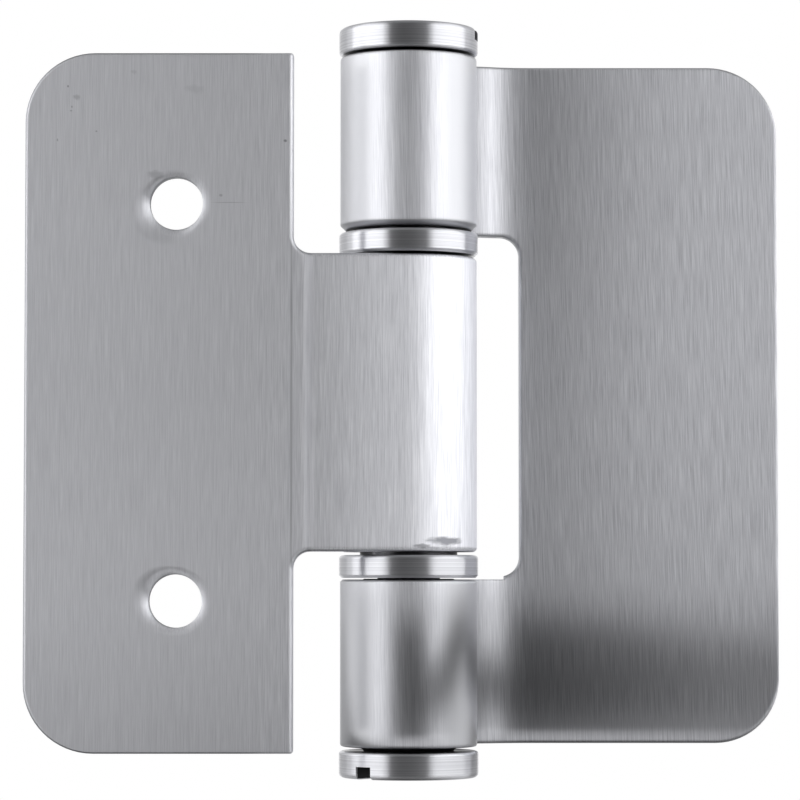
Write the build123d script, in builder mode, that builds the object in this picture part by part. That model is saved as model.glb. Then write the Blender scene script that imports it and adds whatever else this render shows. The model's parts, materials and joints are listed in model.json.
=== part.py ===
from build123d import *
import os
from math import acos, asin, degrees

# A wall mount door hinge of rolled stainless sheet.
# The frame stands at the middle of the wall leaf's two screw holes, on the face that
# goes against the wall. X runs toward the door leaf, Y out of the wall and Z up the pin.

# Sheet that both leaves are rolled from
sheet = 2.5
barrel_radius = 8.75
seam_gap = 0.15
leaf_height = 88.1

# Wall leaf, measured from the pin's axis
wall_reach = 48.3
wall_plate_edge = 14.5
wall_corner = 8.8
wall_bend_start = 14.0
wall_joggle = 0.35
wall_plate_bend = 2.5
wall_barrel_bend = 2.5
arm_fillet = 2.1
screw_hole_radius = 3.35
screw_spacing = 50.0
screws_to_pin = 29.25

# Door leaf, measured from the pin's axis
door_reach = 48.1
door_plate_edge = 14.4
door_upper_corner = 9.0
door_lower_corner = 8.3
door_bend_start = 16.0
door_joggle = 1.6
door_plate_bend = 16.5
door_barrel_bend = 8.9
door_rise = 0.55
slot_fillet = 2.5

# Rounding that tumbling leaves on the sheet's edges
wall_edge_round = 0.35
arm_edge_round = 0.6
door_edge_round = 0.35
hole_back_round = 0.3

# Dip that the punch draws round each screw hole
dip_width = 1.0
dip_depth = 0.2

# Barrel, from the middle knuckle outward
middle_knuckle_length = 37.6
upper_running_gap = 0.3
lower_running_gap = 0.2
upper_hub_gap = 0.35
lower_hub_gap = 0.4
lower_facing = 0.4
lower_facing_reach = 12.4
upper_end_chamfer = 0.7
lower_end_chamfer = 0.3

# Rings with hubs, pressed into the knuckle above them
ring_radius = 8.9
ring_thickness = 2.9
hub_chamfer = 0.4
ring_round = 0.5
ring_chamfer = 0.35

# Pin and the slotted caps that screw into its ends
pin_radius = 4.0
pin_fit = 0.05
pin_chamfer = 0.4
thread_radius = 2.5
thread_fit = 0.05
thread_length = 7.0
thread_chamfer = 0.4
tapped_depth = 10.0
drill_point = 1.4
cap_radius = 8.9
cap_thickness = 3.35
cap_outer_round = 0.6
cap_inner_round = 0.4
cap_slot_width = 2.4
cap_slot_depth = 1.6
top_slot_angle = -10.0
bottom_slot_angle = 49.3
top_cap_gap = 0.36
bottom_cap_gap = 0.58

# Black plastic bushes, and the room left between the two pieces seated in one knuckle
bush_chamfer = 0.5
bush_seat_fit = 0.02
thrust_gap = 0.1
seat_gap = 4.0

# Places that follow from the sizes above
pin_x = screws_to_pin
leaf_depth = 3 * barrel_radius
pin_y = wall_joggle + barrel_radius
bore_radius = barrel_radius - sheet
middle_top = middle_knuckle_length / 2
middle_bottom = -middle_knuckle_length / 2
upper_ring_bottom = middle_top + upper_running_gap
upper_ring_top = upper_ring_bottom + ring_thickness
upper_knuckle_bottom = upper_ring_top + upper_hub_gap
lower_ring_top = middle_bottom - lower_hub_gap
lower_ring_bottom = lower_ring_top - ring_thickness
lower_knuckle_top = lower_ring_bottom - lower_running_gap
door_top = door_rise + leaf_height / 2
door_bottom = door_rise - leaf_height / 2
wall_side = pin_x - wall_plate_edge
slot_top = upper_knuckle_bottom
slot_bottom = lower_knuckle_top + lower_facing
slot_side = pin_x + door_plate_edge
pin_top = door_top + top_cap_gap
pin_bottom = door_bottom - bottom_cap_gap
upper_seat = (pin_top - upper_knuckle_bottom - seat_gap) / 2
middle_seat = middle_knuckle_length / 4
lower_seat = (lower_ring_bottom - thrust_gap - pin_bottom - seat_gap) / 2
shaft_hole = pin_radius + pin_fit
seat_radius = bore_radius - bush_seat_fit
near = 0.01

# The roll stops where its outer corner would meet the inner face of its own leaf
roll = 270 + degrees(asin((bore_radius - seam_gap) / barrel_radius))

# Seen along the pin, each leaf runs toward the barrel along its own X axis. The door leaf
# is the same section turned half round the pin.
wall_section = Plane(origin=(pin_x, pin_y, -leaf_height / 2), x_dir=(1, 0, 0), z_dir=(0, 0, 1))
door_section = Plane(origin=(pin_x, pin_y, door_bottom), x_dir=(-1, 0, 0), z_dir=(0, 0, 1))

# Turned profiles are drawn on a plane through the pin's axis, radius along its own X
turning = Plane(origin=(pin_x, pin_y, 0), x_dir=(1, 0, 0), z_dir=(0, -1, 0))
pin_axis = Axis((pin_x, pin_y, 0), (0, 0, 1))


# Both faces of a sheet that comes in flat, steps toward the barrel and rolls round it
def rolled_sheet(reach, bend_start, joggle, plate_bend, barrel_bend):
    bend = degrees(acos(1 - joggle / (plate_bend + barrel_bend + sheet)))
    free_ends = []
    rolled_ends = []
    for inset in (0, sheet):
        level = inset - barrel_radius - joggle
        plate = Line((-reach, level), (-bend_start, level))
        leave = JernArc(plate @ 1, plate % 1, plate_bend + sheet - inset, bend)
        settle = JernArc(leave @ 1, leave % 1, barrel_bend + inset, -bend)
        neck = Line(settle @ 1, (0, inset - barrel_radius))
        curl = JernArc(neck @ 1, neck % 1, barrel_radius - inset, roll)
        free_ends.append(plate @ 0)
        rolled_ends.append(curl @ 1)
    Line(free_ends[0], free_ends[1])
    Line(rolled_ends[0], rolled_ends[1])


# Wall leaf
with BuildPart() as wall_leaf:
    with BuildSketch(wall_section):
        with BuildLine():
            rolled_sheet(wall_reach, wall_bend_start, wall_joggle, wall_plate_bend, wall_barrel_bend)
        make_face()
    extrude(amount=leaf_height)
    with BuildSketch(Plane.XZ) as wall_outline:
        with Locations((pin_x - wall_reach, 0)):
            Rectangle(wall_reach - wall_plate_edge, leaf_height, align=(Align.MIN, Align.CENTER))
        fillet(wall_outline.vertices().group_by(Axis.X)[0], wall_corner)
        with Locations((pin_x - wall_plate_edge, 0)):
            arm_length = wall_plate_edge + cap_radius
            Rectangle(arm_length, middle_knuckle_length, align=(Align.MIN, Align.CENTER))
        side_corners = wall_outline.vertices().filter_by_position(
            Axis.X, wall_side - near, wall_side + near
        )
        fillet(side_corners.sort_by(Axis.Y)[1:-1], arm_fillet)
    extrude(amount=leaf_depth, both=True, mode=Mode.INTERSECT)

    # The edge that runs from the plate round the arm and the knuckle, then the other edges
    wall_face = wall_leaf.faces().sort_by(Axis.Y)[0]
    plate_side = wall_face.edges().filter_by_position(Axis.X, wall_side - near, wall_side + near)
    fillet(plate_side, arm_edge_round)
    for face_y in (0, sheet):
        leaf_face = wall_leaf.faces().filter_by_position(Axis.Y, face_y - near, face_y + near)[0]
        fillet(leaf_face.edges().filter_by(Axis.Z).sort_by(Axis.X)[0], wall_edge_round)

    with BuildSketch(Plane.XZ):
        with GridLocations(0, screw_spacing, 1, 2):
            Circle(screw_hole_radius)
    extrude(amount=2 * sheet, both=True, mode=Mode.SUBTRACT)
    back_face = wall_leaf.faces().filter_by_position(Axis.Y, sheet - near, sheet + near)[0]
    fillet(back_face.inner_wires().edges(), hole_back_round)
    for hole_z in (-screw_spacing / 2, screw_spacing / 2):
        with BuildSketch(Plane.XY.offset(hole_z)):
            with BuildLine():
                rim = (screw_hole_radius, dip_depth)
                dip = TangentArc((screw_hole_radius + dip_width, 0), rim, tangent=(-1, 0))
                Polyline(dip @ 1, (0, dip_depth), (0, -dip_depth), (dip @ 0 - (0, dip_depth)), dip @ 0)
            make_face()
        revolve(axis=Axis((0, 0, hole_z), (0, 1, 0)), mode=Mode.SUBTRACT)
wall_leaf.part.label = "wall_leaf"

# Door leaf
with BuildPart() as door_leaf:
    with BuildSketch(door_section):
        with BuildLine():
            rolled_sheet(door_reach, door_bend_start, door_joggle, door_plate_bend, door_barrel_bend)
        make_face()
    extrude(amount=leaf_height)
    # Outer corners of the plate
    with BuildSketch(Plane.XZ) as door_outline:
        with Locations((pin_x + door_reach, door_rise)):
            blank_width = door_reach + 2 * barrel_radius
            Rectangle(blank_width, leaf_height, align=(Align.MAX, Align.CENTER))
        for corner, corner_radius in ((-1, door_upper_corner), (0, door_lower_corner)):
            outer_corners = door_outline.vertices().group_by(Axis.X)[-1].sort_by(Axis.Y)
            fillet(outer_corners[corner], corner_radius)
    extrude(amount=leaf_depth, both=True, mode=Mode.INTERSECT)
    # Punched slot for the middle knuckle
    with BuildSketch(Plane.XZ) as slot:
        with Locations((pin_x + door_plate_edge, slot_top)):
            slot_width = door_plate_edge + 2 * barrel_radius
            Rectangle(slot_width, slot_top - slot_bottom, align=(Align.MAX, Align.MAX))
        fillet(slot.vertices().group_by(Axis.X)[-1], slot_fillet)
    extrude(amount=leaf_depth, both=True, mode=Mode.SUBTRACT)

    # Each upright edge chosen here carries the rounding round its whole outline
    for edge_x in (slot_side, pin_x + door_reach):
        for side in (0, -1):
            upright = door_leaf.edges().filter_by_position(Axis.X, edge_x - near, edge_x + near)
            fillet(upright.filter_by(Axis.Z).sort_by(Axis.Y)[side], door_edge_round)

    # The lower knuckle's inner end, faced back for the ring, then a chamfer on both inner ends
    with BuildSketch(Plane.XZ):
        with Locations((pin_x + lower_facing_reach, lower_knuckle_top)):
            facing_width = lower_facing_reach + 2 * barrel_radius
            Rectangle(facing_width, 2 * lower_facing, align=(Align.MAX, Align.MIN))
    extrude(amount=leaf_depth, both=True, mode=Mode.SUBTRACT)
    outside = barrel_radius + near
    for end, size in (
        (upper_knuckle_bottom, upper_end_chamfer),
        (lower_knuckle_top, -lower_end_chamfer),
    ):
        with BuildSketch(turning):
            with BuildLine():
                inner = (barrel_radius - abs(size), end)
                Polyline(inner, (outside, end), (outside, end + size), close=True)
            make_face()
        revolve(axis=pin_axis, mode=Mode.SUBTRACT)
door_leaf.part.label = "door_leaf"

# Pin, tapped at both ends
with BuildPart() as hinge_pin:
    with BuildSketch(turning):
        with BuildLine():
            Polyline(
                (thread_radius, pin_top),
                (pin_radius - pin_chamfer, pin_top),
                (pin_radius, pin_top - pin_chamfer),
                (pin_radius, pin_bottom + pin_chamfer),
                (pin_radius - pin_chamfer, pin_bottom),
                (thread_radius, pin_bottom),
                (thread_radius, pin_bottom + tapped_depth),
                (0, pin_bottom + tapped_depth + drill_point),
                (0, pin_top - tapped_depth - drill_point),
                (thread_radius, pin_top - tapped_depth),
                close=True,
            )
        make_face()
    revolve(axis=pin_axis)
hinge_pin.part.label = "hinge_pin"


# Slotted cap that screws into the pin and rests on its end
def screw_cap(pin_end, outward, slot_angle):
    slot_way = Vector(1, 0, 0).rotate(Axis.Z, slot_angle)
    seat = Plane(origin=(pin_x, pin_y, pin_end), x_dir=slot_way, z_dir=(0, 0, outward))
    cap_axis = Axis(seat.origin, seat.z_dir)
    with BuildPart(seat) as cap:
        Cylinder(cap_radius, cap_thickness, align=(Align.CENTER, Align.CENTER, Align.MIN))
        fillet(cap.edges().sort_by(cap_axis)[-1], cap_outer_round)
        fillet(cap.edges().sort_by(cap_axis)[0], cap_inner_round)
        with Locations((0, 0, cap_thickness)):
            Box(3 * cap_radius, cap_slot_width, 2 * cap_slot_depth, mode=Mode.SUBTRACT)
        Cylinder(
            thread_radius - thread_fit,
            thread_length,
            align=(Align.CENTER, Align.CENTER, Align.MAX),
        )
        chamfer(cap.edges().sort_by(cap_axis)[0], thread_chamfer)
    return cap.part


# Ring with a hub on its upper side, pressed into the knuckle above
def flanged_ring(ring_bottom, hub_gap, hub_seat):
    ring_top = ring_bottom + ring_thickness
    hub_top = ring_top + hub_gap + hub_seat
    with BuildPart() as ring:
        with BuildSketch(turning):
            with BuildLine():
                Polyline(
                    (shaft_hole, ring_bottom),
                    (ring_radius, ring_bottom),
                    (ring_radius, ring_top),
                    (seat_radius, ring_top),
                    (seat_radius, hub_top),
                    (shaft_hole, hub_top),
                    close=True,
                )
            make_face()
        revolve(axis=pin_axis)
        rim = ring.edges().filter_by(GeomType.CIRCLE).sort_by(SortBy.RADIUS)[-2:].sort_by(Axis.Z)
        chamfer(rim[0], ring_chamfer)
        fillet(rim[1], ring_round)
        chamfer(ring.edges().group_by(Axis.Z)[-1].sort_by(SortBy.RADIUS)[-1], hub_chamfer)
    return ring.part


# Plain bush whose chamfered end stands out of its knuckle
def plain_bush(proud_end, bush_length, inward):
    with BuildPart() as bush:
        with BuildSketch(turning):
            with BuildLine():
                Polyline(
                    (shaft_hole, proud_end),
                    (seat_radius - bush_chamfer, proud_end),
                    (seat_radius, proud_end + inward * bush_chamfer),
                    (seat_radius, proud_end + inward * bush_length),
                    (shaft_hole, proud_end + inward * bush_length),
                    close=True,
                )
            make_face()
        revolve(axis=pin_axis)
    return bush.part


top_cap = screw_cap(pin_top, 1, top_slot_angle)
top_cap.label = "top_cap"
bottom_cap = screw_cap(pin_bottom, -1, bottom_slot_angle)
bottom_cap.label = "bottom_cap"
upper_ring = flanged_ring(upper_ring_bottom, upper_hub_gap, upper_seat)
upper_ring.label = "upper_ring"
lower_ring = flanged_ring(lower_ring_bottom, lower_hub_gap, middle_seat)
lower_ring.label = "lower_ring"
upper_end_bush = plain_bush(pin_top, upper_seat, -1)
upper_end_bush.label = "upper_end_bush"
lower_end_bush = plain_bush(pin_bottom, lower_seat, 1)
lower_end_bush.label = "lower_end_bush"
middle_bush = plain_bush(upper_ring_bottom - thrust_gap, middle_seat, -1)
middle_bush.label = "middle_bush"
lower_thrust_bush = plain_bush(lower_ring_bottom - thrust_gap, lower_seat, -1)
lower_thrust_bush.label = "lower_thrust_bush"

os.makedirs("parts", exist_ok=True)
export_step(wall_leaf.part, "parts/wall_leaf.step")
export_step(door_leaf.part, "parts/door_leaf.step")
export_step(hinge_pin.part, "parts/hinge_pin.step")
export_step(top_cap, "parts/top_cap.step")
export_step(bottom_cap, "parts/bottom_cap.step")
export_step(upper_ring, "parts/upper_ring.step")
export_step(lower_ring, "parts/lower_ring.step")
export_step(upper_end_bush, "parts/upper_end_bush.step")
export_step(lower_end_bush, "parts/lower_end_bush.step")
export_step(middle_bush, "parts/middle_bush.step")
export_step(lower_thrust_bush, "parts/lower_thrust_bush.step")
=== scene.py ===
import json
import math

import bpy
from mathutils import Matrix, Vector

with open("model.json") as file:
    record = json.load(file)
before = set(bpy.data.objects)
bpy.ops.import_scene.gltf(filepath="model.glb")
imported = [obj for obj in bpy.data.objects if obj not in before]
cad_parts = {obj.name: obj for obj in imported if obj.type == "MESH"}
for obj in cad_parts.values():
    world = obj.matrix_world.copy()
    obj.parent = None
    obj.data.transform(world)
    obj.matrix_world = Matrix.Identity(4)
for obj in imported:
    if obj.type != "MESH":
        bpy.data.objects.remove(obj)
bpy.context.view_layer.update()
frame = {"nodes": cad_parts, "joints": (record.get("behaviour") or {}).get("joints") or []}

nodes = frame["nodes"]
joint = frame["joints"][0]
pinX, pinY = joint["pos_m"][0], joint["pos_m"][1]
print("frame loaded:", len(nodes), "nodes")


def mm(value):
    return value / 1000


def mmOf(values):
    return [mm(value) for value in values]


def setNode(tree, kind, label="", **settings):
    node = tree.nodes.new(kind)
    node.label = label
    for name, value in settings.items():
        setattr(node, name, value)
    return node


def newGroup(name, inputs, outputs):
    group = bpy.data.node_groups.new(name, "ShaderNodeTree")
    sockets = group.interface
    for socketName, kind, value in inputs:
        socket = sockets.new_socket(socketName, in_out="INPUT", socket_type="NodeSocket" + kind)
        if value is not None:
            socket.default_value = value
    for socketName, kind in outputs:
        sockets.new_socket(socketName, in_out="OUTPUT", socket_type="NodeSocket" + kind)
    start = setNode(group, "NodeGroupInput")
    end = setNode(group, "NodeGroupOutput")
    return group, start.outputs, end.inputs


def placeGroup(tree, group, **values):
    node = setNode(tree, "ShaderNodeGroup", group.name, node_tree=group)
    for name, value in values.items():
        node.inputs[name].default_value = value
    return node


# A value is either a plain number or colour, or the output of another node
def feed(tree, value, socket):
    if isinstance(value, bpy.types.NodeSocket):
        tree.links.new(value, socket)
    else:
        socket.default_value = value


def calc(tree, operation, *values, clamp=False):
    node = setNode(tree, "ShaderNodeMath", operation=operation, use_clamp=clamp)
    for socket, value in zip(node.inputs, values):
        feed(tree, value, socket)
    return node.outputs[0]


def ramp(tree, value, low, high, toLow=0.0, toHigh=1.0, smooth=True):
    way = "SMOOTHSTEP" if smooth else "LINEAR"
    node = setNode(tree, "ShaderNodeMapRange", interpolation_type=way)
    tree.links.new(value, node.inputs["Value"])
    names = ("From Min", "From Max", "To Min", "To Max")
    for name, number in zip(names, (low, high, toLow, toHigh)):
        node.inputs[name].default_value = number
    return node.outputs[0]


def noiseOf(tree, vector, detail, roughness):
    node = setNode(tree, "ShaderNodeTexNoise")
    node.inputs["Scale"].default_value = 1.0
    node.inputs["Detail"].default_value = detail
    node.inputs["Roughness"].default_value = roughness
    tree.links.new(vector, node.inputs["Vector"])
    return node.outputs[0]


# Strokes of a belt along the pin: fine scratches and broad streaks, both long in Z
def makeStrokesGroup():
    group, given, result = newGroup(
        "brushStrokes",
        [
            ("Position", "Vector", None),
            ("Fine", "Float", 5200.0),
            ("Broad", "Float", 1300.0),
            ("Stretch", "Float", 0.02),
            ("Lean", "Float", 0.0),
        ],
        [("Scratches", "Float"), ("Streaks", "Float")],
    )
    parts = setNode(group, "ShaderNodeSeparateXYZ")
    group.links.new(given["Position"], parts.inputs[0])
    x, y, z = parts.outputs
    leaned = calc(group, "MULTIPLY_ADD", z, given["Lean"], x)
    for scaleName, resultName, detail, roughness in (
        ("Fine", "Scratches", 3.0, 0.6),
        ("Broad", "Streaks", 2.0, 0.5),
    ):
        scaled = setNode(group, "ShaderNodeCombineXYZ")
        scale = given[scaleName]
        along = calc(group, "MULTIPLY", scale, given["Stretch"])
        for axis, place, factor in (("X", leaned, scale), ("Y", y, scale), ("Z", z, along)):
            group.links.new(calc(group, "MULTIPLY", place, factor), scaled.inputs[axis])
        group.links.new(noiseOf(group, scaled.outputs[0], detail, roughness), result[resultName])
    return group


# Marks of a lathe tool: rings about the pin, on round and on flat faces alike
def makeTurningGroup():
    group, given, result = newGroup(
        "latheMarks",
        [("Position", "Vector", None), ("Pitch", "Float", 9000.0)],
        [("Marks", "Float"), ("Radius", "Float")],
    )
    offset = setNode(group, "ShaderNodeVectorMath", operation="SUBTRACT")
    offset.inputs[1].default_value = (pinX, pinY, 0)
    group.links.new(given["Position"], offset.inputs[0])
    parts = setNode(group, "ShaderNodeSeparateXYZ")
    group.links.new(offset.outputs[0], parts.inputs[0])
    flat = setNode(group, "ShaderNodeCombineXYZ")
    group.links.new(parts.outputs["X"], flat.inputs["X"])
    group.links.new(parts.outputs["Y"], flat.inputs["Y"])
    radius = setNode(group, "ShaderNodeVectorMath", operation="LENGTH")
    group.links.new(flat.outputs[0], radius.inputs[0])
    group.links.new(radius.outputs["Value"], result["Radius"])
    lines = setNode(group, "ShaderNodeCombineXYZ")
    for axis, place in (("X", radius.outputs["Value"]), ("Y", parts.outputs["Z"])):
        group.links.new(calc(group, "MULTIPLY", place, given["Pitch"]), lines.inputs[axis])
    marks = noiseOf(group, lines.outputs[0], detail=3.0, roughness=0.65)
    group.links.new(marks, result["Marks"])
    return group


# Sheared rim of a flat plate: 1 where the surface turns away from the plate's faces
rimTurn = (0.98, 0.75)  # the normal's Y where the rim starts, and where it is full


def makeRimGroup():
    group, given, result = newGroup(
        "shearedRim", [("Normal", "Vector", None)], [("Rim", "Float")]
    )
    parts = setNode(group, "ShaderNodeSeparateXYZ")
    group.links.new(given["Normal"], parts.inputs[0])
    facing = calc(group, "ABSOLUTE", parts.outputs["Y"])
    group.links.new(ramp(group, facing, *rimTurn), result["Rim"])
    return group


# Small marks of handling: 1 at the middle of an oval spot, 0 outside it
spotEdge = (0.3, 1.0)  # from the full middle to the faded rim, as shares of the spot's size


def makeSpotGroup():
    group, given, result = newGroup(
        "handlingSpot",
        [
            ("Position", "Vector", None),
            ("Centre", "Vector", None),
            ("Size", "Vector", None),
            ("Ragged", "Float", 0.0),
        ],
        [("Spot", "Float")],
    )
    offset = setNode(group, "ShaderNodeVectorMath", operation="SUBTRACT")
    group.links.new(given["Position"], offset.inputs[0])
    group.links.new(given["Centre"], offset.inputs[1])
    scaled = setNode(group, "ShaderNodeVectorMath", operation="DIVIDE")
    group.links.new(offset.outputs[0], scaled.inputs[0])
    group.links.new(given["Size"], scaled.inputs[1])
    distance = setNode(group, "ShaderNodeVectorMath", operation="LENGTH")
    group.links.new(scaled.outputs[0], distance.inputs[0])
    tear = noiseOf(group, scaled.outputs[0], detail=3.0, roughness=0.6)
    torn = calc(group, "MULTIPLY_ADD", tear, given["Ragged"], distance.outputs["Value"])
    edge = calc(group, "MULTIPLY_ADD", given["Ragged"], -0.5, torn)
    group.links.new(ramp(group, edge, *spotEdge, 1.0, 0.0), result["Spot"])
    return group


# Painted shade that darkens corners and gaps: 0 in the open, 1 deep in a gap
shadeOpenness = (0.12, 0.55)  # as open as a full gap, and as an unshaded corner


def makeCornerShadeGroup():
    group, given, result = newGroup(
        "cornerGrime", [("Reach", "Float", 0.0014)], [("Grime", "Float")]
    )
    openness = setNode(group, "ShaderNodeAmbientOcclusion", samples=8)
    group.links.new(given["Reach"], openness.inputs["Distance"])
    shadeMask = ramp(group, openness.outputs["AO"], *shadeOpenness, 1.0, 0.0)
    group.links.new(shadeMask, result["Grime"])
    return group


# Share of wide, matt scratches among the narrow, glossy ones, far finer than the eye sees
mattGrain = (110000.0, 110000.0, 9000.0)
mattLimits = (0.94, 1.06)  # noise and share together: glossy below, matt above


def makeMattGroup():
    group, given, result = newGroup(
        "mattScratches",
        [("Position", "Vector", None), ("Share", "Float", 0.5)],
        [("Matt", "Float")],
    )
    scaled = setNode(group, "ShaderNodeVectorMath", operation="MULTIPLY")
    scaled.inputs[1].default_value = mattGrain
    group.links.new(given["Position"], scaled.inputs[0])
    grain = noiseOf(group, scaled.outputs[0], detail=1.0, roughness=0.5)
    chance = calc(group, "ADD", grain, given["Share"])
    group.links.new(ramp(group, chance, *mattLimits, smooth=False), result["Matt"])
    return group


# Slow bend that starts at a line and grows from there: a parabola's height, used as bump
def makeBowGroup():
    group, given, result = newGroup(
        "slowBow",
        [
            ("Place", "Float", 0.0),
            ("Start", "Float", 0.0),
            ("Way", "Float", 1.0),
            ("Curve", "Float", 1.0),
        ],
        [("Height", "Float")],
    )
    ahead = calc(group, "SUBTRACT", given["Place"], given["Start"])
    past = calc(group, "MAXIMUM", calc(group, "MULTIPLY", ahead, given["Way"]), 0.0)
    fall = calc(group, "MULTIPLY", calc(group, "MULTIPLY", past, past), given["Curve"])
    group.links.new(calc(group, "MULTIPLY", fall, -0.5), result["Height"])
    return group


strokesGroup = makeStrokesGroup()
turningGroup = makeTurningGroup()
rimGroup = makeRimGroup()
spotGroup = makeSpotGroup()
cornerShadeGroup = makeCornerShadeGroup()
mattGroup = makeMattGroup()
bowGroup = makeBowGroup()
print("shared effects ready")


def newFinish(name):
    finish = bpy.data.materials.new(name)
    finish.use_nodes = True
    tree = finish.node_tree
    return finish, tree, tree.nodes["Principled BSDF"]


def mixColor(tree, factor, first, second):
    node = setNode(tree, "ShaderNodeMix", data_type="RGBA")
    tree.links.new(factor, node.inputs["Factor"])
    feed(tree, first, node.inputs[6])
    feed(tree, second, node.inputs[7])
    return node.outputs[2]


# Gloss spreads across the tool's strokes: the tangent runs along them, turned a quarter
quarterTurn = 0.25


def alongPin(tree, shader):
    up = setNode(tree, "ShaderNodeCombineXYZ", "along the pin")
    up.inputs["Z"].default_value = 1.0
    tree.links.new(up.outputs[0], shader.inputs["Tangent"])
    shader.inputs["Anisotropic Rotation"].default_value = quarterTurn


def bumpOf(tree, height, depth):
    node = setNode(tree, "ShaderNodeBump")
    node.inputs["Distance"].default_value = depth
    tree.links.new(height, node.inputs["Height"])
    return node


def bowSum(tree, parts, bows):
    total = 0.0
    for axis, start, way, curve in bows:
        bow = placeGroup(tree, bowGroup, Start=start, Way=way, Curve=curve)
        tree.links.new(parts.outputs[axis], bow.inputs["Place"])
        total = calc(tree, "ADD", total, bow.outputs["Height"])
    return total


# Each spot: its centre and half size in mm, how ragged it is, and its weight, which for a dent
# is its depth
def spotSum(tree, position, spots):
    total = 0.0
    for centre, size, ragged, weight in spots:
        oval = {"Centre": mmOf(centre), "Size": mmOf(size), "Ragged": ragged}
        spot = placeGroup(tree, spotGroup, **oval)
        tree.links.new(position, spot.inputs["Position"])
        total = calc(tree, "MULTIPLY_ADD", spot.outputs["Spot"], weight, total)
    return total


# Sheet brushed along the pin, shared by both leaves and set by each leaf's own dictionary
def makeSheetFinish(name, look):
    finish, tree, shader = newFinish(name)
    place = setNode(tree, "ShaderNodeTexCoord")
    position = place.outputs["Object"]
    strokes = placeGroup(tree, strokesGroup, **look["strokes"])
    tree.links.new(position, strokes.inputs["Position"])
    fineShare = look["fineShare"]
    fine = calc(tree, "MULTIPLY", strokes.outputs["Scratches"], fineShare)
    both = calc(tree, "MULTIPLY_ADD", strokes.outputs["Streaks"], 1 - fineShare, fine)
    parts = setNode(tree, "ShaderNodeSeparateXYZ")
    tree.links.new(position, parts.inputs[0])
    start, end, plain, strong = look["contrast"]
    gain = ramp(tree, parts.outputs["X"], start, end, plain, strong)
    swing = calc(tree, "MULTIPLY", calc(tree, "SUBTRACT", both, 0.5), gain)
    spread = calc(tree, "ADD", swing, 0.5, clamp=True)
    rim = placeGroup(tree, rimGroup)
    tree.links.new(place.outputs["Normal"], rim.inputs["Normal"])
    cornerShade = placeGroup(tree, cornerShadeGroup)
    marks = spotSum(tree, position, look["marks"])
    # Painted shade on the plates' rims, which darkens their reflections, over a span along X
    start, end = look["dullEdge"]
    shadeSpan = ramp(tree, parts.outputs["X"], start, end)
    edgeShade = calc(tree, "MULTIPLY", rim.outputs["Rim"], shadeSpan)
    color = mixColor(tree, spread, look["dark"], look["light"])
    # Painted light: the base colour is made brighter over the given spans along X or Z
    for axis, start, end, plain, lifted in look["lifts"]:
        bright = setNode(tree, "ShaderNodeVectorMath", "lift", operation="SCALE")
        tree.links.new(color, bright.inputs[0])
        lift = ramp(tree, parts.outputs[axis], start, end, plain, lifted)
        tree.links.new(lift, bright.inputs["Scale"])
        color = bright.outputs[0]
    color = mixColor(tree, marks, color, look["markColor"])
    color = mixColor(tree, edgeShade, color, look["edgeColor"])
    # Painted shade: corners and gaps darkened by how closed in they are
    color = mixColor(tree, cornerShade.outputs["Grime"], color, look["grimeColor"])
    tree.links.new(color, shader.inputs["Base Color"])
    share = look["matt"]
    for axis, start, end, change in look["mattSteps"]:
        step = ramp(tree, parts.outputs[axis], start, end, 0.0, change)
        share = calc(tree, "ADD", share, step)
    matt = placeGroup(tree, mattGroup)
    tree.links.new(position, matt.inputs["Position"])
    feed(tree, share, matt.inputs["Share"])
    shader.inputs["Anisotropic"].default_value = look["anisotropic"]
    roughness = ramp(tree, matt.outputs["Matt"], 0, 1, *look["roughness"], smooth=False)
    for start, end, change in look["roughnessSteps"]:
        step = ramp(tree, parts.outputs["X"], start, end, 0.0, change)
        roughness = calc(tree, "ADD", roughness, step)
    tree.links.new(roughness, shader.inputs["Roughness"])
    shader.inputs["Metallic"].default_value = 1.0
    alongPin(tree, shader)
    soft = setNode(tree, "ShaderNodeBevel", samples=6)
    soft.inputs["Radius"].default_value = look["softEdge"]
    form = bowSum(tree, parts, look["bows"])
    if look["dents"]:
        form = calc(tree, "SUBTRACT", form, spotSum(tree, position, look["dents"]))
    bent = bumpOf(tree, form, 1.0)
    tree.links.new(soft.outputs[0], bent.inputs["Normal"])
    bump = bumpOf(tree, strokes.outputs["Scratches"], look["depth"])
    tree.links.new(bent.outputs[0], bump.inputs["Normal"])
    tree.links.new(bump.outputs[0], shader.inputs["Normal"])
    return finish


# Each step below runs from one place along X or Z to another, then gives the change or the
# value at each of the two. A bow has its axis, start, way and curve in 1/m.

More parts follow.
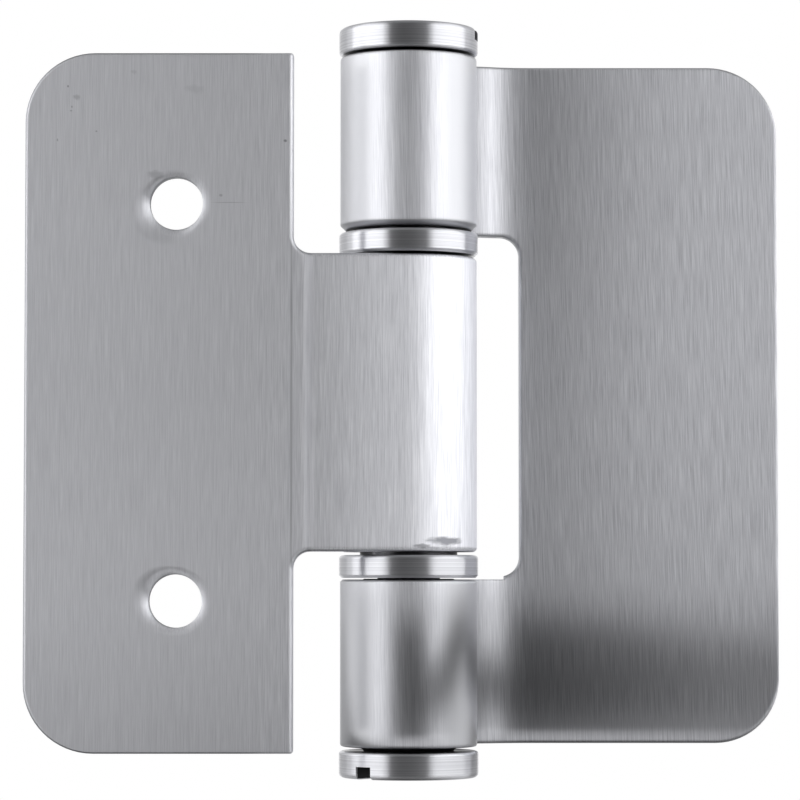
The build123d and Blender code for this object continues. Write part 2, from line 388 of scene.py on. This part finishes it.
# Wall leaf: dull, even, finely brushed, with specks and scuffs near the upper hole
wallLook = {
    "dark": (0.58, 0.585, 0.62, 1),
    "light": (0.825, 0.83, 0.865, 1),
    "markColor": (0.30, 0.305, 0.33, 1),
    "edgeColor": (0.34, 0.345, 0.37, 1),
    "grimeColor": (0.10, 0.10, 0.11, 1),
    "strokes": {"Fine": 8500.0, "Broad": 2600.0, "Stretch": 0.024},
    "fineShare": 0.75,
    "contrast": (mm(4), mm(18), 1.8, 3.2),
    "dullEdge": (mm(12), mm(8)),
    "matt": 0.62,
    "mattSteps": [("X", mm(14), mm(28), 0.12)],
    # Painted light: brighter towards the pin and lower down
    "lifts": [("X", mm(14), mm(28), 1.0, 1.11), ("Z", mm(5), mm(-28), 1.0, 1.10)],
    "roughness": (0.34, 0.45),
    "roughnessSteps": [(mm(10), mm(-16), 0.02), (mm(15), mm(27), 0.05), (mm(29), mm(34), -0.05)],
    "anisotropic": 0.65,
    "bows": [("X", mm(16), 1.0, 14.0), ("X", mm(29), 1.0, -26.0), ("Z", mm(-26), -1.0, 1.3)],
    "dents": [
        ((-1.25, 0, 24.1), (4.5, 4.5, 4.5), 0.05, mm(0.62)),
        ((-1.35, 0, -24.8), (4.3, 4.3, 4.3), 0.05, mm(0.5)),
    ],
    "softEdge": mm(0.25),
    "depth": mm(0.006),
    "marks": [
        ((-13.7, 0, 39.8), (0.16, 2, 0.22), 0.3, 0.8),
        ((-13.2, 0, 37.2), (0.13, 2, 0.2), 0.3, 0.7),
        ((-13.3, 0, 36.7), (0.2, 2, 0.14), 0.3, 0.6),
        ((-10.1, 0, 34.1), (0.18, 2, 0.16), 0.3, 0.6),
        ((-15.0, 0, 33.0), (0.13, 2, 0.26), 0.3, 0.6),
        ((-2.6, 0, 28.5), (1.3, 2, 0.9), 1.4, 0.4),
        ((6.6, 0, 25.1), (2.9, 2, 0.07), 0.2, 0.45),
        ((33.7, 2.0, -17.5), (2.9, 3, 0.75), 1.5, 1.1),
        ((31.0, 1.0, -18.1), (1.4, 3, 0.4), 1.6, 0.8),
        # Two long darker lines down the whole leaf, where the plate bends into the arm
        ((14.5, 0, 0), (0.2, 3, 40.0), 0.2, 0.5),
        ((16.75, 0, 0), (0.5, 3, 40.0), 0.1, 0.45),
        ((13.7, 0, 32.9), (0.3, 2, 0.25), 0.3, 0.9),
        ((-5.4, 0, 41.6), (0.5, 2, 0.4), 1.6, 0.2),
        ((2.3, 0, 39.4), (1.6, 2, 0.8), 1.6, 0.16),
        ((-12.6, 0, 38.4), (0.6, 2, 0.5), 1.2, 0.4),
        ((5.6, 0, 26.0), (0.3, 2, 0.25), 0.6, 0.5),
    ],
}
wallFinish = makeSheetFinish("wallSheet", wallLook)

# Door leaf: glossier, strongly brushed
doorLook = {
    "dark": (0.53, 0.535, 0.57, 1),
    "light": (0.77, 0.775, 0.81, 1),
    "markColor": (0.45, 0.455, 0.48, 1),
    "edgeColor": (0.55, 0.555, 0.58, 1),
    "grimeColor": (0.10, 0.10, 0.11, 1),
    "strokes": {"Fine": 9500.0, "Broad": 2600.0, "Stretch": 0.018, "Lean": 0.03},
    "fineShare": 0.88,
    "contrast": (mm(36), mm(46), 2.4, 3.7),
    "dullEdge": (mm(76.5), mm(76.0)),
    "matt": 0.49,
    "mattSteps": [("X", mm(46), mm(74), 0.17), ("Z", mm(-24), mm(-34), -0.27)],
    # Painted light: brighter nearest the pin
    "lifts": [("X", mm(37.5), mm(39.5), 1.14, 1.0)],
    "roughness": (0.285, 0.47),
    "roughnessSteps": [(mm(46), mm(76), 0.07)],
    "anisotropic": 0.8,
    "bows": [
        ("Z", mm(-22), -1.0, 9.6),
        ("Z", mm(-41.4), -1.0, 50.0),
        ("X", mm(37), 1.0, 40.0),
        ("X", mm(40), 1.0, -80.0),
        ("X", mm(43), 1.0, 40.0),
    ],
    "dents": [],
    "softEdge": mm(0.5),
    "depth": mm(0.012),
    "marks": [
        ((58.0, 17, 12.0), (0.12, 4, 0.5), 0.3, 0.4),
        ((66.0, 17, -8.0), (0.1, 4, 0.7), 0.3, 0.4),
    ],
}
doorFinish = makeSheetFinish("doorSheet", doorLook)


# Caps and rings: bright steel straight off the lathe
turnedLook = {
    "dark": (0.54, 0.545, 0.575, 1),
    "light": (0.735, 0.74, 0.77, 1),
    "grimeColor": (0.03, 0.03, 0.032, 1),
    "pitch": 7500.0,  # tool marks to a metre
    "contrast": (0.3, 0.7),
    "slotDepth": (mm(46.2), mm(47.75)),  # above and below the middle of the barrel
    "slotInside": mm(8.6),
    "slotMiddle": mm(0.44),
    "roughness": 0.34,
    "anisotropic": 0.95,
    "depth": mm(0.003),
}


def makeTurnedFinish(look):
    finish, tree, shader = newFinish("turnedSteel")
    place = setNode(tree, "ShaderNodeTexCoord")
    marks = placeGroup(tree, turningGroup, Pitch=look["pitch"])
    tree.links.new(place.outputs["Object"], marks.inputs["Position"])
    spread = ramp(tree, marks.outputs["Marks"], *look["contrast"])
    cornerShade = placeGroup(tree, cornerShadeGroup)
    # The cap slots get painted shade: inside the caps' rim, between the slot's floor and the end
    # face
    height = setNode(tree, "ShaderNodeSeparateXYZ")
    tree.links.new(place.outputs["Object"], height.inputs[0])
    fromMiddle = calc(tree, "SUBTRACT", height.outputs["Z"], look["slotMiddle"])
    level = calc(tree, "ABSOLUTE", fromMiddle)
    low, high = look["slotDepth"]
    inSlot = calc(tree, "LESS_THAN", marks.outputs["Radius"], look["slotInside"])
    for operation, limit in (("GREATER_THAN", low), ("LESS_THAN", high)):
        inSlot = calc(tree, "MULTIPLY", inSlot, calc(tree, operation, level, limit))
    shadeMask = calc(tree, "MAXIMUM", cornerShade.outputs["Grime"], inSlot)
    color = mixColor(tree, spread, look["dark"], look["light"])
    color = mixColor(tree, shadeMask, color, look["grimeColor"])
    tree.links.new(color, shader.inputs["Base Color"])
    shader.inputs["Roughness"].default_value = look["roughness"]
    shader.inputs["Metallic"].default_value = 1.0
    shader.inputs["Anisotropic"].default_value = look["anisotropic"]
    shader.inputs["Anisotropic Rotation"].default_value = quarterTurn
    offset = setNode(tree, "ShaderNodeVectorMath", operation="SUBTRACT")
    offset.inputs[1].default_value = (pinX, pinY, 0)
    tree.links.new(place.outputs["Object"], offset.inputs[0])
    around = setNode(tree, "ShaderNodeVectorMath", "around the pin", operation="CROSS_PRODUCT")
    around.inputs[0].default_value = (0, 0, 1)
    tree.links.new(offset.outputs[0], around.inputs[1])
    turn = setNode(tree, "ShaderNodeVectorTransform", vector_type="VECTOR")
    turn.convert_from, turn.convert_to = "OBJECT", "WORLD"
    tree.links.new(around.outputs[0], turn.inputs[0])
    tree.links.new(turn.outputs[0], shader.inputs["Tangent"])
    bump = bumpOf(tree, marks.outputs["Marks"], look["depth"])
    tree.links.new(bump.outputs[0], shader.inputs["Normal"])
    return finish


# Black plastic of the bushes
bushLook = {
    "color": (0.012, 0.012, 0.013, 1),
    "grain": 9000.0,
    "contrast": (0.3, 0.7),
    "roughness": (0.38, 0.52),
    "depth": mm(0.003),
}


def makeBushFinish(look):
    finish, tree, shader = newFinish("blackBush")
    place = setNode(tree, "ShaderNodeTexCoord")
    scaled = setNode(tree, "ShaderNodeMapping")
    scaled.inputs["Scale"].default_value = (look["grain"],) * 3
    tree.links.new(place.outputs["Object"], scaled.inputs["Vector"])
    grain = noiseOf(tree, scaled.outputs[0], detail=2.0, roughness=0.5)
    roughness = ramp(tree, grain, *look["contrast"], *look["roughness"])
    tree.links.new(roughness, shader.inputs["Roughness"])
    shader.inputs["Base Color"].default_value = look["color"]
    bump = bumpOf(tree, grain, look["depth"])
    tree.links.new(bump.outputs[0], shader.inputs["Normal"])
    return finish


turnedFinish = makeTurnedFinish(turnedLook)
bushFinish = makeBushFinish(bushLook)
print("finishes ready")

finishOf = {
    "wall_leaf": (wallFinish, "brushed_sheet"),
    "door_leaf": (doorFinish, "brushed_sheet"),
    "hinge_pin": (turnedFinish, "ground_pin"),
    "top_cap": (turnedFinish, "turned_steel"),
    "bottom_cap": (turnedFinish, "turned_steel"),
    "upper_ring": (turnedFinish, "turned_steel"),
    "lower_ring": (turnedFinish, "turned_steel"),
    "upper_end_bush": (bushFinish, "black_bush"),
    "lower_end_bush": (bushFinish, "black_bush"),
    "middle_bush": (bushFinish, "black_bush"),
    "lower_thrust_bush": (bushFinish, "black_bush"),
}
for name, (finish, slotName) in finishOf.items():
    piece = nodes[name]
    piece.data.materials.clear()
    piece.data.materials.append(finish)
print("finishes on", len(finishOf), "nodes")

# Studio: a tall soft box at each side, over a dark zone and then the bright table, which both
# begin on slanting lines, a dim card behind the lens and dim flags at the rear. A line is its
# height where Y is 0, and its slope along Y.
studio = {
    "side": 0.45,  # from the pin to each soft box
    "front": -0.66,
    "back": 0.30,
    "rear": 1.2,
    "top": 0.62,
    "boxBottom": -0.03,
    "boxGlow": 1.15,
    "lowGlow": 0.03,
    "boxLines": {"left": (-0.229, 0.385), "right": (-0.032, 0.30)},
    "tableLines": {"left": (-0.335, 0.0), "right": (-0.128, 0.33)},
    "lineBlur": 0.008,
    "tableGlow": 0.95,
    "ceilingGlow": 0.35,
    "flagGlow": 0.7,
    "flagSplit": -0.06,
    "dimFlags": {"left": 0.5, "right": 0.25},
    "cardDistance": 0.52,
    "cardHalf": 0.35,
    "cardReach": 2.4,
    "floorCard": -0.34,
    "floorLevel": -0.35,
    "floorSize": 6.0,
    "floorColor": (0.9, 0.9, 0.9, 1),
    "floorRoughness": 0.9,
    "worldGlow": 0.7,
}
left, right = pinX - studio["side"], pinX + studio["side"]


def newGlow(name):
    glow = bpy.data.materials.new(name)
    glow.use_nodes = True
    tree = glow.node_tree
    tree.nodes.remove(tree.nodes["Principled BSDF"])
    light = setNode(tree, "ShaderNodeEmission")
    tree.links.new(light.outputs[0], tree.nodes["Material Output"].inputs["Surface"])
    return glow, tree, light.inputs["Strength"]


def plainGlow(name, strength):
    glow, tree, socket = newGlow(name)
    socket.default_value = strength
    return glow


# Dim room behind the lens: darkest above it, a dark band below it, then the table's light.
# Each entry runs from one place to another, then gives the strength at each of the two.
roomLight = {
    "height": (-0.01, 0.12, 0.19, 0.02),
    "offset": (0.06, 0.3, 0.0, 0.08),
    "across": (-0.25, 0.3, 0.0, 0.08),
    "darkBand": (-0.09, -0.045),
    "table": (-0.34, -0.30, 0.45, 0.0),
}


def makeRoomGlow():
    glow, tree, socket = newGlow("roomGlow")
    place = setNode(tree, "ShaderNodeTexCoord")
    parts = setNode(tree, "ShaderNodeSeparateXYZ")
    tree.links.new(place.outputs["Object"], parts.inputs[0])
    height = parts.outputs["Z"]
    across = parts.outputs["X"]
    offset = calc(tree, "ABSOLUTE", calc(tree, "SUBTRACT", across, pinX))
    room = ramp(tree, height, *roomLight["height"])
    room = calc(tree, "ADD", room, ramp(tree, offset, *roomLight["offset"]))
    room = calc(tree, "ADD", room, ramp(tree, across, *roomLight["across"]))
    room = calc(tree, "MULTIPLY", room, ramp(tree, height, *roomLight["darkBand"]))
    table = ramp(tree, height, *roomLight["table"])
    tree.links.new(calc(tree, "ADD", room, table), socket)
    return glow


# Lower part of a side: the box ends on one slanting line, the table begins on another
def makeLowGlow(name, boxLine, tableLine):
    glow, tree, socket = newGlow(name)
    place = setNode(tree, "ShaderNodeTexCoord")
    parts = setNode(tree, "ShaderNodeSeparateXYZ")
    tree.links.new(place.outputs["Object"], parts.inputs[0])
    y, z = parts.outputs["Y"], parts.outputs["Z"]
    total = studio["lowGlow"]
    for (level, slope), blur, glowName in (
        (boxLine, studio["lineBlur"], "boxGlow"),
        (tableLine, -studio["lineBlur"], "tableGlow"),
    ):
        above = calc(tree, "MULTIPLY_ADD", y, -slope, z)
        strength = studio[glowName] - studio["lowGlow"]
        zone = ramp(tree, above, level - blur, level + blur, 0.0, strength)
        total = calc(tree, "ADD", total, zone)
    tree.links.new(total, socket)
    return glow


# Table under the hinge: dark straight below, lighter farther off
tableLight = (0.06, 0.42, 0.04, 0.52)


def makeTableGlow():
    glow, tree, socket = newGlow("tableGlow")
    place = setNode(tree, "ShaderNodeTexCoord")
    flat = setNode(tree, "ShaderNodeVectorMath", operation="MULTIPLY")
    flat.inputs[1].default_value = (1, 1, 0)
    tree.links.new(place.outputs["Object"], flat.inputs[0])
    distance = setNode(tree, "ShaderNodeVectorMath", operation="LENGTH")
    tree.links.new(flat.outputs[0], distance.inputs[0])
    tree.links.new(ramp(tree, distance.outputs["Value"], *tableLight), socket)
    return glow


# A card that only reflections see; its mesh stands in the part's frame
def addCard(name, place, size, turn, glow):
    bpy.ops.object.select_all(action="DESELECT")
    bpy.ops.mesh.primitive_plane_add(size=1.0, location=place, rotation=turn)
    card = bpy.context.active_object
    card.name = name
    card.scale = (size[0], size[1], 1)
    bpy.ops.object.transform_apply(location=True, rotation=True, scale=True)
    card.data.materials.append(glow)
    card.visible_camera = False
    card.visible_diffuse = False
    card.visible_shadow = False


def sideCard(name, x, front, back, bottom, top, glow):
    place = (x, (front + back) / 2, (bottom + top) / 2)
    addCard(name, place, (top - bottom, back - front), (0, math.pi / 2, 0), glow)


def addSoftBox(name, x):
    front, back, bottom, top = studio["front"], studio["back"], studio["boxBottom"], studio["top"]
    data = bpy.data.lights.new(name, "AREA")
    data.shape = "RECTANGLE"
    data.size, data.size_y = back - front, top - bottom
    data.energy = studio["boxGlow"] * (back - front) * (top - bottom) * math.pi
    box = bpy.data.objects.new(name, data)
    bpy.context.scene.collection.objects.link(box)
    box.location = (x, (front + back) / 2, (top + bottom) / 2)
    facing = Vector((pinX - x, 0, 0))
    box.rotation_euler = facing.to_track_quat("-Z", "Z").to_euler()
    box.visible_camera = False


flagGlow = plainGlow("flagGlow", studio["flagGlow"])
low, split, top = studio["floorCard"], studio["flagSplit"], studio["top"]
front, back, rear = studio["front"], studio["back"], studio["rear"]
for side, x in (("left", left), ("right", right)):
    addSoftBox(side + "Box", x)
    lowGlow = makeLowGlow(side + "Low", studio["boxLines"][side], studio["tableLines"][side])
    sideCard(side + "Low", x, front, back, low, studio["boxBottom"], lowGlow)
    dimGlow = plainGlow(side + "DimGlow", studio["dimFlags"][side])
    sideCard(side + "Flag", x, back, rear, split, top, flagGlow)
    sideCard(side + "DimFlag", x, back, rear, low, split, dimGlow)
roomPlace = (pinX, -studio["cardDistance"], (low + top) / 2)
roomSize = (2 * studio["cardHalf"], top - low)
addCard("room", roomPlace, roomSize, (math.pi / 2, 0, 0), makeRoomGlow())
levelSize = (studio["cardReach"],) * 2
ceilingGlow = plainGlow("ceilingGlow", studio["ceilingGlow"])
addCard("ceiling", (pinX, 0, top), levelSize, (0, 0, 0), ceilingGlow)
addCard("table", (pinX, 0, low), levelSize, (0, 0, 0), makeTableGlow())

bpy.ops.object.select_all(action="DESELECT")
bpy.ops.mesh.primitive_plane_add(
    size=studio["floorSize"], location=(0, 0, studio["floorLevel"])
)
floor = bpy.context.active_object
floor.name = "floor"


# White to the camera and in reflections, as the real backdrop is; plain to all other light
def whiteWhereSeen(tree, plain, white, surface):
    path = setNode(tree, "ShaderNodeLightPath")
    seen = calc(tree, "MAXIMUM", path.outputs["Is Camera Ray"], path.outputs["Is Glossy Ray"])
    seen = calc(tree, "MAXIMUM", seen, path.outputs["Is Transmission Ray"])
    blend = setNode(tree, "ShaderNodeMixShader")
    for socket, value in zip(blend.inputs, (seen, plain, white)):
        tree.links.new(value, socket)
    tree.links.new(blend.outputs[0], surface)


def makeFloorFinish():
    finish, tree, shader = newFinish("paleFloor")
    shader.inputs["Base Color"].default_value = studio["floorColor"]
    shader.inputs["Roughness"].default_value = studio["floorRoughness"]
    white = setNode(tree, "ShaderNodeEmission")
    white.inputs["Strength"].default_value = 1.0
    surface = tree.nodes["Material Output"].inputs["Surface"]
    whiteWhereSeen(tree, shader.outputs[0], white.outputs[0], surface)
    return finish


floor.data.materials.append(makeFloorFinish())


def makeWorld():
    world = bpy.data.worlds.new("studioWorld")
    world.use_nodes = True
    tree = world.node_tree
    dim = tree.nodes["Background"]
    dim.inputs["Color"].default_value = (1, 1, 1, 1)
    dim.inputs["Strength"].default_value = studio["worldGlow"]
    white = setNode(tree, "ShaderNodeBackground")
    white.inputs["Color"].default_value = (1, 1, 1, 1)
    surface = tree.nodes["World Output"].inputs["Surface"]
    whiteWhereSeen(tree, dim.outputs[0], white.outputs[0], surface)
    return world


bpy.context.scene.world = makeWorld()
bpy.context.scene.view_settings.view_transform = "Standard"
print("studio ready")

# Camera where the photograph was taken from: level with the lower screw, tipped up a little
cameraFit = {
    "place": (0.02815, -0.4437, -0.02212),
    "tipUp": 2.88,
    "lens": 159.3,
    "sensor": 36.0,
    "clip": (0.05, 20),
}


def addCamera(fit):
    data = bpy.data.cameras.new("camera")
    data.sensor_width = fit["sensor"]
    data.lens = fit["lens"]
    data.clip_start, data.clip_end = fit["clip"]
    camera = bpy.data.objects.new("camera", data)
    bpy.context.scene.collection.objects.link(camera)
    camera.location = fit["place"]
    camera.rotation_euler = (math.radians(90 + fit["tipUp"]), 0, 0)
    bpy.context.scene.camera = camera


addCamera(cameraFit)
print("camera ready")
